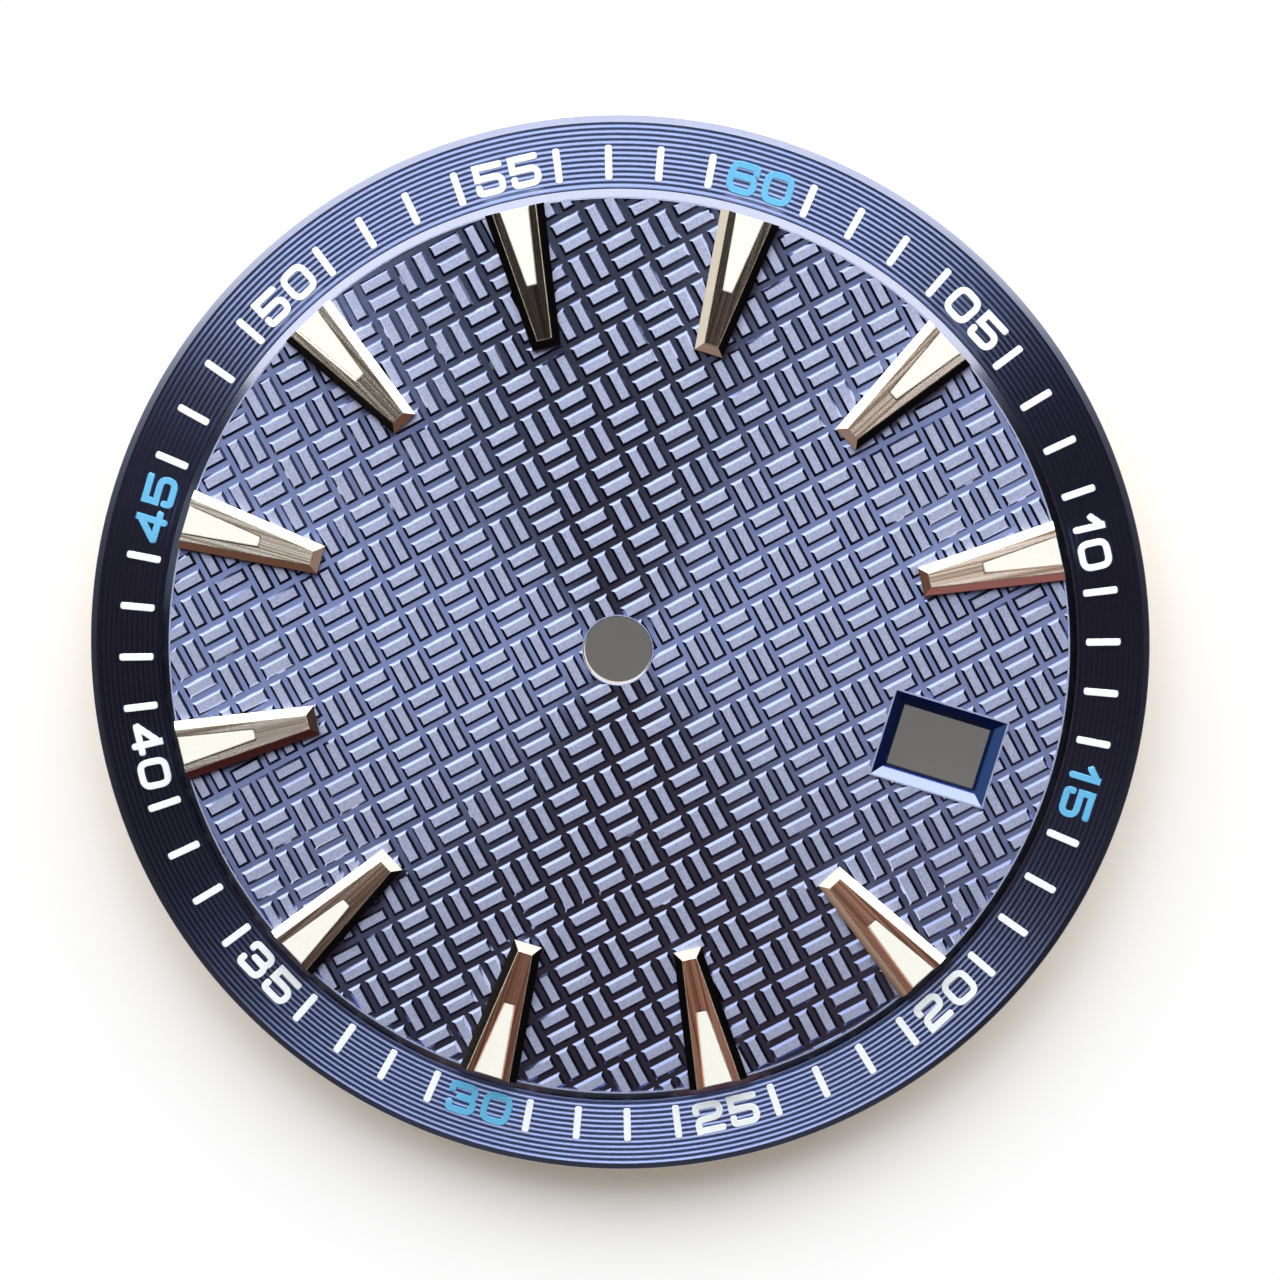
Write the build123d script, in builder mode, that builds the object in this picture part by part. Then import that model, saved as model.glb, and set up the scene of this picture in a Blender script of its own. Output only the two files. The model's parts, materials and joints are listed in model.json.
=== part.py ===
from build123d import *

import os
from math import cos, radians, sin

# Watch dial with a date window at 3 o'clock.
# The origin is the centre of the centre hole, on the plate's back face.
# +Z points out of the front, +Y to 12 o'clock and +X to 3 o'clock. Lengths are in millimetres.

# Dial plate
dial_diameter = 31.8
centre_hole_diameter = 2.03
seat_thickness = 0.25
step_height = 0.18
step_bevel_run = 0.22
plate_edge_break = 0.04

# Minute track ring, which lies on the plate's outer seat
track_width = 2.14
track_thickness = 0.20
track_bore_clearance = 0.02
track_edge_break = 0.03
track_inner_land = 0.05
track_outer_land = 0.20
groove_count = 12
groove_depth = 0.03

# Date window
window_length = 2.70
window_height = 1.87
window_bevel_run = 0.38
window_bevel_depth = 0.38
window_edge_gap = 1.73

# Hour markers
marker_length = 4.20
marker_end_width = 1.80
marker_tip_width = 0.86
marker_edge_gap = 0.04
marker_wall_height = 0.20
marker_facet_height = 0.20
marker_side_facet = 0.24
marker_tip_facet = 0.26
marker_hours = ["01", "02", "04", "05", "06", "07", "08", "09", "10", "11", "12"]

# Rivet feet of the hour markers
rivet_diameter = 0.50
rivet_clearance = 0.03
rivet_tip_inset = 0.75
rivet_end_inset = 0.90
rivet_setback = 0.05

# Pocket of each marker and its luminous inlay
pocket_length = 2.33
pocket_end_width = 0.92
pocket_tip_width = 0.36
pocket_depth = 0.20
pocket_corner_radius = 0.05
lume_clearance = 0.01
lume_setback = 0.02

# Dial feet
foot_diameter = 0.70
foot_length = 2.00
foot_recess_depth = 0.10
foot_recess_clearance = 0.05
foot_edge_inset = 3.40
foot_end_chamfer = 0.12
foot_angles = [48, 228]

# One overrun for every cut that passes through a face
cut_overrun = 0.50

# Places worked out from the sizes above
dial_radius = dial_diameter / 2
hole_radius = centre_hole_diameter / 2
track_inner_radius = dial_radius - track_width
centre_radius = track_inner_radius - track_bore_clearance - step_bevel_run
track_top = seat_thickness + track_thickness
centre_top = track_top + step_height
marker_end_radius = centre_radius - marker_edge_gap
marker_tip_radius = marker_end_radius - marker_length
marker_height = marker_wall_height + marker_facet_height
hour_angle = 360 / 12
window_outer_x = centre_radius - window_edge_gap
window_centre_x = window_outer_x - window_bevel_run - window_length / 2


def dial_direction(angle):
    """Return the unit direction at an angle in degrees clockwise from 12 o'clock."""
    return (sin(radians(angle)), cos(radians(angle)), 0)


def spoke_plane(angle, height):
    """Return a plane that faces forward at a height, with its x axis pointing outward at an angle."""
    return Plane(origin=(0, 0, height), x_dir=dial_direction(angle), z_dir=(0, 0, 1))


def spoke_point(angle, radius):
    """Return the point at a radius and an angle clockwise from 12 o'clock, in the dial's own x and y."""
    direction = dial_direction(angle)
    return (direction[0] * radius, direction[1] * radius)


def wedge_points(tip_x, end_x, tip_width, end_width):
    """Return the corners of a wedge along x that widens from its tip to its end."""
    return [
        (tip_x, -tip_width / 2),
        (end_x, -end_width / 2),
        (end_x, end_width / 2),
        (tip_x, tip_width / 2),
    ]


def marker_width_at(radius):
    """Return the full width of a marker's base at a radius."""
    share = (radius - marker_tip_radius) / marker_length
    return marker_tip_width + (marker_end_width - marker_tip_width) * share


os.makedirs("parts", exist_ok=True)

rivet_radii = [marker_tip_radius + rivet_tip_inset, marker_end_radius - rivet_end_inset]
rivet_places = [
    spoke_point(int(hour) * hour_angle, radius)
    for hour in marker_hours
    for radius in rivet_radii
]
foot_places = [spoke_point(angle, dial_radius - foot_edge_inset) for angle in foot_angles]

# Dial plate: a disc with a raised centre, turned in one section
with BuildPart() as dial_plate:
    with BuildSketch(Plane.XZ):
        with BuildLine():
            Polyline(
                (hole_radius, 0),
                (dial_radius - plate_edge_break, 0),
                (dial_radius, plate_edge_break),
                (dial_radius, seat_thickness),
                (track_inner_radius - track_bore_clearance, seat_thickness),
                (track_inner_radius - track_bore_clearance, track_top),
                (centre_radius, centre_top),
                (hole_radius, centre_top),
                close=True,
            )
        make_face()
    revolve(axis=Axis.Z)
    # The date window's sunken bevel, a pyramid cut that ends at the opening
    with BuildSketch(Plane.XY.offset(centre_top)):
        with Locations((window_centre_x, 0)):
            Rectangle(window_length + 2 * window_bevel_run, window_height + 2 * window_bevel_run)
    with BuildSketch(Plane.XY.offset(centre_top - window_bevel_depth)):
        with Locations((window_centre_x, 0)):
            Rectangle(window_length, window_height)
    loft(ruled=True, mode=Mode.SUBTRACT)
    # The date window's opening
    with BuildSketch(Plane.XY.offset(-cut_overrun)):
        with Locations((window_centre_x, 0)):
            Rectangle(window_length, window_height)
    extrude(amount=centre_top + cut_overrun, mode=Mode.SUBTRACT)
    # The holes for the markers' rivet feet
    with BuildSketch(Plane.XY.offset(-cut_overrun)):
        with Locations(*rivet_places):
            Circle(rivet_diameter / 2 + rivet_clearance)
    extrude(amount=centre_top + 2 * cut_overrun, mode=Mode.SUBTRACT)
    # The shallow recesses that hold the dial feet
    with BuildSketch(Plane.XY.offset(-cut_overrun)):
        with Locations(*foot_places):
            Circle(foot_diameter / 2 + foot_recess_clearance)
    extrude(amount=cut_overrun + foot_recess_depth, mode=Mode.SUBTRACT)
dial_plate.part.label = "dial_plate"
export_step(dial_plate.part, "parts/dial_plate.step")

# Minute track ring: a flat ring whose front is turned with concentric grooves
groove_span = track_width - track_inner_land - track_outer_land
groove_pitch = groove_span / groove_count
groove_start = track_inner_radius + track_inner_land
with BuildPart() as minute_track_ring:
    with BuildSketch(Plane.XZ):
        with BuildLine():
            section_points = [
                (track_inner_radius, seat_thickness),
                (track_inner_radius, track_top),
                (groove_start, track_top),
            ]
            for groove in range(groove_count):
                valley_radius = groove_start + (groove + 1 / 2) * groove_pitch
                crest_radius = groove_start + (groove + 1) * groove_pitch
                section_points.append((valley_radius, track_top - groove_depth))
                section_points.append((crest_radius, track_top))
            section_points.append((dial_radius - track_edge_break, track_top))
            section_points.append((dial_radius, track_top - track_edge_break))
            section_points.append((dial_radius, seat_thickness))
            Polyline(*section_points, close=True)
        make_face()
    revolve(axis=Axis.Z)
minute_track_ring.part.label = "minute_track_ring"
export_step(minute_track_ring.part, "parts/minute_track_ring.step")

# Outlines that the hour markers share, along x outward from the dial's centre
flat_tip_radius = marker_tip_radius + marker_tip_facet
flat_tip_width = marker_width_at(flat_tip_radius) - 2 * marker_side_facet
flat_end_width = marker_end_width - 2 * marker_side_facet
pocket_tip_radius = marker_end_radius - pocket_length
pocket_slope = (pocket_end_width - pocket_tip_width) / pocket_length
pocket_past_radius = marker_end_radius + cut_overrun
pocket_past_width = pocket_end_width + pocket_slope * cut_overrun
lume_tip_radius = pocket_tip_radius + lume_clearance
lume_tip_width = pocket_tip_width - 2 * lume_clearance
lume_end_width = pocket_end_width - 2 * lume_clearance
base_corners = wedge_points(marker_tip_radius, marker_end_radius, marker_tip_width, marker_end_width)
flat_corners = wedge_points(flat_tip_radius, marker_end_radius, flat_tip_width, flat_end_width)
pocket_corners = wedge_points(pocket_tip_radius, pocket_past_radius, pocket_tip_width, pocket_past_width)
lume_corners = wedge_points(lume_tip_radius, marker_end_radius, lume_tip_width, lume_end_width)

# Hour markers: an upright wall, facets up to a flat top, a pocket and two rivet feet
for hour in marker_hours:
    marker_name = f"hour_marker_{hour}"
    base_plane = spoke_plane(int(hour) * hour_angle, centre_top)
    with BuildPart() as hour_marker:
        with BuildSketch(base_plane):
            Polygon(*base_corners, align=None)
        extrude(amount=marker_wall_height)
        with BuildSketch(base_plane.offset(marker_wall_height)):
            Polygon(*base_corners, align=None)
        with BuildSketch(base_plane.offset(marker_height)):
            Polygon(*flat_corners, align=None)
        loft(ruled=True)
        # The pocket is open at the marker's outer end
        with BuildSketch(base_plane.offset(marker_height)) as pocket:
            Polygon(*pocket_corners, align=None)
            inner_corners = pocket.vertices().sort_by_distance((0, 0, 0))[:2]
            fillet(inner_corners, pocket_corner_radius)
        extrude(amount=-pocket_depth, mode=Mode.SUBTRACT)
        with BuildSketch(base_plane):
            with Locations(*[(radius, 0) for radius in rivet_radii]):
                Circle(rivet_diameter / 2)
        extrude(amount=rivet_setback - centre_top)
    hour_marker.part.label = marker_name
    export_step(hour_marker.part, f"parts/{marker_name}.step")

# Luminous inlays: each fills a marker's pocket to just under its flat top
for hour in marker_hours:
    lume_name = f"lume_inlay_{hour}"
    pocket_floor = spoke_plane(int(hour) * hour_angle, centre_top + marker_height - pocket_depth)
    with BuildPart() as lume_inlay:
        with BuildSketch(pocket_floor) as lume:
            Polygon(*lume_corners, align=None)
            inner_corners = lume.vertices().sort_by_distance((0, 0, 0))[:2]
            fillet(inner_corners, pocket_corner_radius)
        extrude(amount=pocket_depth - lume_setback)
    lume_inlay.part.label = lume_name
    export_step(lume_inlay.part, f"parts/{lume_name}.step")

# Dial feet: two pins set in the plate's back
for number, angle in enumerate(foot_angles, start=1):
    foot_name = f"dial_foot_{number}"
    with BuildPart() as dial_foot:
        with BuildSketch(spoke_plane(angle, -foot_length)):
            with Locations((dial_radius - foot_edge_inset, 0)):
                Circle(foot_diameter / 2)
        extrude(amount=foot_length + foot_recess_depth)
        free_end = dial_foot.faces().sort_by(Axis.Z)[0]
        chamfer(free_end.edges(), foot_end_chamfer)
    dial_foot.part.label = foot_name
    export_step(dial_foot.part, f"parts/{foot_name}.step")
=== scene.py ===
# %% [markdown]
# # A watch dial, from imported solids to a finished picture
# The dial is a stamped brass plate, plated blue, with a turned minute ring, eleven cut hour markers, their
# luminous fillings, printed minutes and two copper feet. Everything is modelled in millimetres, because the
# smallest details are a few hundredths of one. Each finished piece is then made a thousandth of that size.

import json
import math

import bmesh
import bpy
from mathutils import Matrix, Vector

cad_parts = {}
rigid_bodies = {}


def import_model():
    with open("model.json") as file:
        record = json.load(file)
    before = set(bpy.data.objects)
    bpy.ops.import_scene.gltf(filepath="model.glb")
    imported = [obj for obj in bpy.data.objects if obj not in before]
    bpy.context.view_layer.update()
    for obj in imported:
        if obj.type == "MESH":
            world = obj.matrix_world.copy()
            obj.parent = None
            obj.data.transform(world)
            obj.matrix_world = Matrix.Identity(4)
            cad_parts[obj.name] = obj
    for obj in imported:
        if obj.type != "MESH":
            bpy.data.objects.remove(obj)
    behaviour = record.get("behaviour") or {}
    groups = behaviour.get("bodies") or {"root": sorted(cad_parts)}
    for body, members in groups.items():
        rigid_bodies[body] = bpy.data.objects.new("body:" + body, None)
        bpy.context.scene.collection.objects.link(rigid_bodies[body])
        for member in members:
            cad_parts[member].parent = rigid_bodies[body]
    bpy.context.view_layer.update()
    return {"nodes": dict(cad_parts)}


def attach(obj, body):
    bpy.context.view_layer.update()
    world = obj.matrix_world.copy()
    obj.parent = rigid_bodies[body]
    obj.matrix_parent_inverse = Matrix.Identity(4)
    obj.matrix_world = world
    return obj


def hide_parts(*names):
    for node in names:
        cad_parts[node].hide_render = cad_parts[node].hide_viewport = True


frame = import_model()
bpy.ops.object.select_all(action="DESELECT")
print("solids loaded:", len(frame["nodes"]))

# %% [markdown]
# ## The camera
# The photograph was taken from almost straight above, with the dial turned a little clockwise. Two numbers
# describe that: how far the dial is turned, and where the lens stood. Places measured in the photograph's
# own directions, right and up, are turned back into the dial's directions by one small function.

# %% Camera
millimetre = 0.001
photo_turn = math.radians(16.93)


def from_photo(right, up, height):
    """Turn a place in the photograph's directions, in millimetres, into the dial's frame, in metres."""
    cosine, sine = math.cos(photo_turn), math.sin(photo_turn)
    return Vector((right * cosine - up * sine, right * sine + up * cosine, height)) * millimetre


camera_place = from_photo(4.343, 12.750, 120.45)
camera_target = from_photo(0.645, 0.247, 0)
view_direction = (camera_target - camera_place).normalized()
view_right = view_direction.cross(from_photo(0, 1, 0)).normalized()
view_up = view_right.cross(view_direction)
camera_turn = Matrix((view_right, view_up, -view_direction)).transposed().to_euler()
bpy.ops.object.camera_add(location=camera_place, rotation=camera_turn)
camera = bpy.context.object
camera.data.lens = 113.27
camera.data.sensor_width = 36
camera.data.clip_start = 0.005
bpy.context.scene.camera = camera
bpy.context.scene.view_settings.view_transform = "Standard"
print("camera is", round((camera_place - camera_target).length * 1000, 1), "mm from its target")

# %% [markdown]
# ## Colours and nodes
# Colours are written as they look on a screen, in hex, and one function turns them into the linear values
# that a renderer works with. A second function adds one shader node with its settings and links. The others
# are built on it, so that each material below reads as a short list of what it is made of.

# %% Colour and node helpers


def linear(hex_colour):
    """Turn a screen colour such as #336699 into linear red, green, blue and alpha."""
    screen = [int(hex_colour[i : i + 2], 16) / 255 for i in (1, 3, 5)]
    return [c / 12.92 if c <= 0.04045 else ((c + 0.055) / 1.055) ** 2.4 for c in screen] + [1]


def add_node(tree, kind, inputs=None, **settings):
    """Add a node, set its settings, and give each named input a value or a link."""
    node = tree.nodes.new("ShaderNode" + kind)
    for name, value in settings.items():
        setattr(node, name, value)
    for name, value in (inputs or {}).items():
        if isinstance(value, bpy.types.NodeSocket):
            tree.links.new(value, node.inputs[name])
        else:
            node.inputs[name].default_value = value
    return node


def math_node(tree, operation, *values):
    """The result of one sum on numbers or links."""
    return add_node(tree, "Math", dict(enumerate(values)), operation=operation).outputs[0]


def vector_node(tree, operation, *values, output=0):
    """The result of one sum on vectors or links."""
    return add_node(tree, "VectorMath", dict(enumerate(values)), operation=operation).outputs[output]


def object_place(tree):
    """The place on the object, in metres."""
    return add_node(tree, "TexCoord").outputs["Object"]


def new_material(name):
    """Make an empty material and return it with its node tree."""
    material = bpy.data.materials.new(name)
    material.use_nodes = True
    material.node_tree.nodes.clear()
    return material, material.node_tree


def surface(tree, kind, inputs):
    """Give a material its last shader, and link that to the surface."""
    add_node(tree, "OutputMaterial", {"Surface": add_node(tree, kind, inputs).outputs[0]})


white = (1, 1, 1, 1)
print("node helpers ready")

# %% [markdown]
# ## The floor and the background
# The dial stands on its two feet, on a white sheet. The sheet is plain white paper that also glows a little
# where a ray looks at it directly, so that it ends white in the picture while the shadow beside the dial
# stays. Under the dial, on a strip from the centre to the date window, the paper is painted dark grey as
# shade, which is what the centre hole and the date window show. This painted shade is grey only where it is
# looked at directly, so that it doesn't darken the back of the dial above it. Further out the sheet and the
# world are simply white. Seen from below the sheet is clear, so that the back of the dial can be looked at
# too.

# %% Floor and world
floor_height, floor_radius = -0.002, 0.6
# The painted shade under the dial: how far it reaches along X from the centre, and where it fades out
painted_shade_reach, painted_shade_edge = 0.01006, (0.0023, 0.0029)
paper_edge = (0.0157, 0.0225)
paper_glow, painted_shade_glow, mirrored_glow = 0.165, 0.14, 0.45


def looked_at(tree):
    """One where a camera, mirror or glass ray looks at the surface, and nought for the light itself."""
    path = add_node(tree, "LightPath").outputs
    either = math_node(tree, "MAXIMUM", path["Is Camera Ray"], path["Is Glossy Ray"])
    return math_node(tree, "MAXIMUM", either, path["Is Transmission Ray"])


def fade(tree, edge, reach=0):
    """Nought near the centre, or near a line of some reach along X from it, and one beyond an edge that is
    given by its start and end distance, in metres."""
    place = object_place(tree)
    nearest = vector_node(tree, "MAXIMUM", place, (0, 0, 0))
    nearest = vector_node(tree, "MINIMUM", nearest, (reach, 0, 0))
    distance = vector_node(tree, "DISTANCE", place, nearest, output="Value")
    return add_node(tree, "MapRange", {"Value": distance, "From Min": edge[0], "From Max": edge[1]},
                    interpolation_type="SMOOTHSTEP").outputs[0]


bpy.ops.mesh.primitive_circle_add(vertices=96, radius=floor_radius, fill_type="NGON",
                                  location=(0, 0, floor_height))
floor = bpy.context.object
floor.name = "floor"
floor_paper, tree = new_material("white_paper_and_painted_shade")
path = add_node(tree, "LightPath").outputs
# Painted shade: under the dial the paper is dark grey (#303030) with less glow, for camera rays only,
# standing in for the shadow seen through the hole and the date window
on_painted_shade = math_node(tree, "SUBTRACT", 1, fade(tree, painted_shade_edge, painted_shade_reach))
on_painted_shade = math_node(tree, "MULTIPLY", on_painted_shade, path["Is Camera Ray"])
colour = add_node(tree, "Mix", {"Factor": on_painted_shade, 6: linear("#E9E9E9"), 7: linear("#303030")},
                  data_type="RGBA").outputs[2]
glow = math_node(tree, "MULTIPLY_ADD", on_painted_shade, painted_shade_glow - paper_glow, paper_glow)
glow = math_node(tree, "MULTIPLY", looked_at(tree), glow)
glow = math_node(tree, "MULTIPLY_ADD", path["Is Glossy Ray"], mirrored_glow, glow)
paper = add_node(tree, "BsdfDiffuse", {"Color": colour})
shine = add_node(tree, "Emission", {"Color": white, "Strength": glow})
near = add_node(tree, "AddShader", {0: paper.outputs[0], 1: shine.outputs[0]})
far = add_node(tree, "Emission", {"Color": white, "Strength": looked_at(tree)})
sweep = add_node(tree, "MixShader", {0: fade(tree, paper_edge), 1: near.outputs[0], 2: far.outputs[0]})
clear = add_node(tree, "BsdfTransparent")
side = add_node(tree, "NewGeometry")
surface(tree, "MixShader", {0: side.outputs["Backfacing"], 1: sweep.outputs[0], 2: clear.outputs[0]})
floor.data.materials.append(floor_paper)

world = bpy.data.worlds.new("white_room")
world.use_nodes = True
world.node_tree.nodes.clear()
bpy.context.scene.world = world
sky = add_node(world.node_tree, "Background", {"Color": white, "Strength": looked_at(world.node_tree)})
add_node(world.node_tree, "OutputWorld", {"Surface": sky.outputs[0]})
print("floor at", floor_height * 1000, "mm")

# %% [markdown]
# ## The light
# Polished metal shows its surroundings, so the light is built as a round studio of cards: one broad window
# at the top of the photograph, a brown ceiling, and dark cards everywhere else, with a few coloured ones low
# down. The cards make one drum, whose faces get their glow by the direction in which they lie. The window is
# dimmer at half height, as if by a blind, so that the dial doesn't glare when it is looked at from the side.
# Paint, ink and paper don't mirror anything, and a second, plain window of daylight lights them.

# %% Cards of the studio
studio_radius, studio_height, studio_steps = 0.40, 0.42, 72
# Each kind of card has a name, a colour and, where it isn't one, a strength.
card_looks = {
    "window": ("window_card", "#FFFFFF", 3.4),
    "blind": ("window_blind_card", "#FFFFFF", 1.3),
    "sky": ("high_window_card", "#FFFFFF", 4.4),
    "veil": ("veiled_window_card", "#FFFFFF", 3.2),
    "dark": ("black_card", "#0C0B0E"),
    "phone": ("dark_grey_card", "#38383A"),
    "ceiling": ("brown_ceiling_card", "#DCA290"),
    "slate": ("slate_blue_card", "#65839E"),
    "haze": ("middle_grey_card", "#5A5E6E"),
    "shade": ("shaded_brown_card", "#433734"),
    "pale": ("pale_card", "#EAE6DE"),
    "tan": ("tan_card", "#BEA093"),
    "taupe": ("taupe_card", "#957E77"),
    "brown": ("brown_card", "#6A4C42"),
    "red": ("red_brown_card", "#966262"),
    "maroon": ("maroon_card", "#38181A"),
}
card_order = list(card_looks)
# Each card is (first azimuth, last azimuth, card), with the azimuth in degrees, anticlockwise from the
# photograph's right. What no card covers is dark.
window_azimuths = (35, 150)
window = (*window_azimuths, "window")
# The wall, from the floor up, with the elevation in degrees at which each band but the last one ends
wall_bands = (5.1, 8.5, 10.4, 15, 21, 40)
wall_cards = [
    [window, (160, 180, "slate"), (245, 260, "brown"), (275, 285, "red")],
    [window, (160, 180, "slate"), (220, 230, "tan"), (275, 285, "maroon")],
    [window, (165, 180, "pale"), (220, 230, "tan"), (275, 285, "maroon")],
    [window, (220, 235, "taupe"), (245, 260, "taupe"), (280, 285, "shade")],
    [window, (195, 200, "brown"), (300, 310, "brown"), (330, 340, "taupe")],
    [(*window_azimuths, "blind"), (5, 10, "shade"), (240, 300, "haze")],
    [(45, 150, "sky")],
]
# The ceiling, from the middle outward, with the radius in metres at which each ring ends
ceiling_cards = {
    0.050: [(0, 360, "phone")],
    0.115: [(45, 60, "tan"), (85, 105, "veil"), (240, 335, "ceiling")],
    0.125: [(85, 105, "veil"), (130, 150, "veil")],
    0.19: [(85, 125, "sky")],
    studio_radius: [(45, 150, "sky")],
}
ceiling_rings = list(ceiling_cards)[:-1]
print("kinds of card:", len(card_order))

# %% Drum of the studio


def glow_material(name, hex_colour, strength=1):
    """A studio card that glows evenly."""
    material, tree = new_material(name)
    surface(tree, "Emission", {"Color": linear(hex_colour), "Strength": strength})
    return material


def on_ceiling(place):
    """Whether a place on the drum lies on its ceiling."""
    return place.z > studio_height - 0.001


def photo_azimuth(place):
    """The azimuth of a place, in degrees, counted anticlockwise from the photograph's right."""
    return math.degrees(math.atan2(place.y, place.x) - photo_turn) % 360


def card_for(place):
    """Choose the card at a place on the drum."""
    radius = math.hypot(place.x, place.y)
    if on_ceiling(place):
        choices = next(row for reach, row in ceiling_cards.items() if radius < reach)
    else:
        elevation = math.degrees(math.atan2(place.z, radius))
        choices = wall_cards[sum(elevation > limit for limit in wall_bands)]
    azimuth = photo_azimuth(place)
    return next((name for start, end, name in choices if start <= azimuth < end), "dark")


bpy.ops.object.select_all(action="DESELECT")
bpy.ops.mesh.primitive_cylinder_add(vertices=studio_steps, radius=studio_radius,
                                    depth=studio_height - floor_height, rotation=(0, 0, photo_turn),
                                    location=(0, 0, (studio_height + floor_height) / 2))
studio = bpy.context.object
studio.name = "studio_cards"
bpy.ops.object.transform_apply(location=True, rotation=True)
bpy.ops.object.mode_set(mode="EDIT")
bpy.ops.mesh.select_mode(type="FACE")
bpy.ops.mesh.select_all(action="DESELECT")
for face in bmesh.from_edit_mesh(studio.data).faces:
    face.select_set(face.normal.z > 0.9)
for inner_radius in reversed(ceiling_rings):
    middle = [face for face in bmesh.from_edit_mesh(studio.data).faces if face.select]
    shrink = inner_radius / max(v.co.xy.length for face in middle for v in face.verts)
    bpy.ops.mesh.extrude_region_move()
    bpy.ops.transform.resize(value=(shrink, shrink, 1), center_override=(0, 0, studio_height))
bpy.ops.mesh.select_all(action="DESELECT")
for face in bmesh.from_edit_mesh(studio.data).faces:
    face.select_set(face.normal.z < -0.9 and face.calc_center_median().z < 0)
bpy.ops.mesh.delete(type="FACE")
for elevation in wall_bands:
    bpy.ops.mesh.select_all(action="SELECT")
    wall_height = studio_radius * math.tan(math.radians(elevation))
    bpy.ops.mesh.bisect(plane_co=(0, 0, wall_height), plane_no=(0, 0, 1))
bpy.ops.object.mode_set(mode="OBJECT")
for look in card_looks.values():
    studio.data.materials.append(glow_material(*look))
for face in studio.data.polygons:
    face.material_index = card_order.index(card_for(face.center))
studio.visible_camera = False
studio.visible_diffuse = False
studio.visible_shadow = False
print("studio of", len(studio.data.polygons), "cards")

# %% Daylight for paint, ink and paper
white_level = 1.10
daylight_opening = ceiling_rings[-1]
window_share = (window_azimuths[1] - window_azimuths[0]) / 360
window_top = math.atan2(studio_height, daylight_opening)
daylight_strength = white_level / (window_share * math.sin(window_top) ** 2)
daylight = studio.copy()
daylight.data = studio.data.copy()
daylight.name = "daylight_window"
bpy.context.collection.objects.link(daylight)
daylight.data.materials.clear()
daylight.data.materials.append(glow_material("daylight", "#FFFFFF", daylight_strength))
pick = bmesh.new()
pick.from_mesh(daylight.data)
for face in list(pick.faces):
    place = face.calc_center_median()
    in_window = window_azimuths[0] <= photo_azimuth(place) < window_azimuths[1]
    if not in_window or (on_ceiling(place) and math.hypot(place.x, place.y) < daylight_opening):
        pick.faces.remove(face)
pick.to_mesh(daylight.data)
pick.free()
for face in daylight.data.polygons:
    face.material_index = 0
daylight.visible_camera = False
daylight.visible_glossy = False
daylight.visible_diffuse = True
print("daylight strength", round(daylight_strength, 2))

# %% [markdown]
# ## Modelling helpers
# Most pieces of a watch are made by a few operations: turning, pressing, cutting and bending. Turning is a
# section drawn point by point and spun about the axis. Cutting is one solid taken from another.

# %% Modelling helpers


def pick_up(*pieces):
    """Make some objects the selected ones, and the first of them the active one."""
    bpy.ops.object.select_all(action="DESELECT")
    for piece in pieces:
        piece.select_set(True)
    bpy.context.view_layer.objects.active = pieces[0]


def choose(kind, test):
    """In edit mode, select the points ("VERT") or faces ("FACE") whose place and normal pass a test."""
    bpy.ops.mesh.select_mode(type=kind)
    bpy.ops.mesh.select_all(action="DESELECT")
    shape = bmesh.from_edit_mesh(bpy.context.edit_object.data)
    for item in shape.verts if kind == "VERT" else shape.faces:
        place = item.co if kind == "VERT" else item.calc_center_median()
        item.select_set(bool(test(place, item.normal)))
    shape.select_flush_mode()
    bmesh.update_edit_mesh(bpy.context.edit_object.data)


def choose_edges(test):
    """In edit mode, select the edges that pass a test."""
    bpy.ops.mesh.select_mode(type="EDGE")
    bpy.ops.mesh.select_all(action="DESELECT")
    shape = bmesh.from_edit_mesh(bpy.context.edit_object.data)
    for edge in shape.edges:
        edge.select_set(test(edge))
    bmesh.update_edit_mesh(bpy.context.edit_object.data)


def block(centre, size):
    """A plain block to start from, with its place and size applied."""
    bpy.ops.object.select_all(action="DESELECT")
    bpy.ops.mesh.primitive_cube_add(size=1, location=centre, scale=size)
    bpy.ops.object.transform_apply(location=True, scale=True)
    return bpy.context.object


def turn(name, section, steps):
    """Draw a closed section of (radius, height) corners by extruding one point, then spin it about Z."""
    bpy.ops.mesh.primitive_plane_add(size=1)
    piece = bpy.context.object
    piece.name = name
    bpy.ops.object.mode_set(mode="EDIT")
    bpy.ops.mesh.select_mode(type="VERT")
    bpy.ops.mesh.select_all(action="SELECT")
    bpy.ops.mesh.merge(type="CENTER")
    bpy.ops.transform.translate(value=(section[0][0], 0, section[0][1]))
    for before, after in zip(section, section[1:] + section[:1]):
        step = (after[0] - before[0], 0, after[1] - before[1])
        bpy.ops.mesh.extrude_region_move(TRANSFORM_OT_translate={"value": step})
    bpy.ops.mesh.select_all(action="SELECT")
    bpy.ops.mesh.remove_doubles(threshold=1e-5)
    bpy.ops.mesh.spin(steps=steps, angle=2 * math.pi, center=(0, 0, 0), axis=(0, 0, 1))
    bpy.ops.mesh.select_all(action="SELECT")
    bpy.ops.mesh.remove_doubles(threshold=1e-5)
    bpy.ops.mesh.normals_make_consistent(inside=False)
    bpy.ops.object.mode_set(mode="OBJECT")
    return piece


def apply_modifier(piece, kind, **settings):
    """Add a modifier with its settings and apply it."""
    pick_up(piece)
    modifier = piece.modifiers.new(kind.title(), kind)
    for name, value in settings.items():
        setattr(modifier, name, value)
    bpy.ops.object.modifier_apply(modifier=modifier.name)


def cut(piece, cutter, operation="DIFFERENCE"):
    """Take one solid from another, or join them, and throw the cutter away."""
    apply_modifier(piece, "BOOLEAN", object=cutter, operation=operation, solver="EXACT")
    bpy.data.objects.remove(cutter)


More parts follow.
